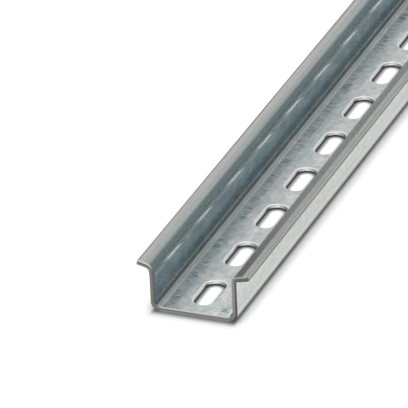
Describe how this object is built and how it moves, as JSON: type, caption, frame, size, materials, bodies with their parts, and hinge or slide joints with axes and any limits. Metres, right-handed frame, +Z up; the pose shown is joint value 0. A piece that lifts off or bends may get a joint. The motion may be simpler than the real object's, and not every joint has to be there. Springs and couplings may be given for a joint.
{
  "type": "din rail",
  "caption": "Galvanised steel top-hat mounting rail with lips that devices clip onto and a row of slots along its base.",
  "frame": {"origin": "middle of the rail's length and width, on the underside of the base", "axes": "+Y along the rail, +X across it, +Z up out of the open channel"},
  "size_m": [0.035, 1, 0.0158],
  "materials": {
    "galvanised_steel": "zinc-coated sheet, satin, with faint rolling marks and mottling"
  },
  "bodies": {
    "root": {"rail": "galvanised_steel"}
  },
  "joints": []
}
